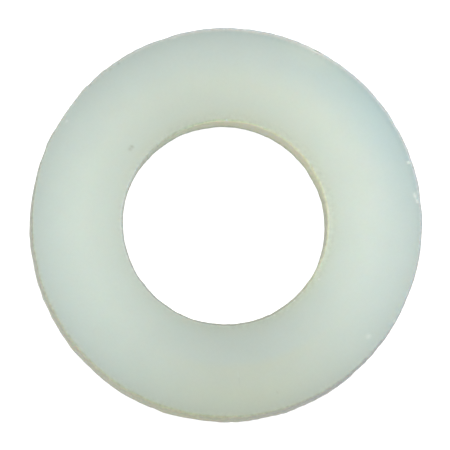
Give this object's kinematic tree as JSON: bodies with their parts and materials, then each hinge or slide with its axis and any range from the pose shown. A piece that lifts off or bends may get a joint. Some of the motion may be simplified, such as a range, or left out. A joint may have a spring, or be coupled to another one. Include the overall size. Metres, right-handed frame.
{
  "type": "flat washer",
  "caption": "Plain flat plastic washer: a thin round ring with a round bolt hole, softly rounded edges and a small trimmed gate mark on its rim.",
  "frame": {"origin": "centre of the bore, on the plane of the underside", "axes": "+Z along the bore axis, out of the top face; the trimmed gate on the rim is 63 degrees from +X towards +Y"},
  "size_m": [0.02, 0.02, 0.002],
  "materials": {
    "natural_nylon": "satin, milky and slightly translucent, as unpigmented nylon is"
  },
  "bodies": {
    "root": {"washer": "natural_nylon"}
  },
  "joints": []
}
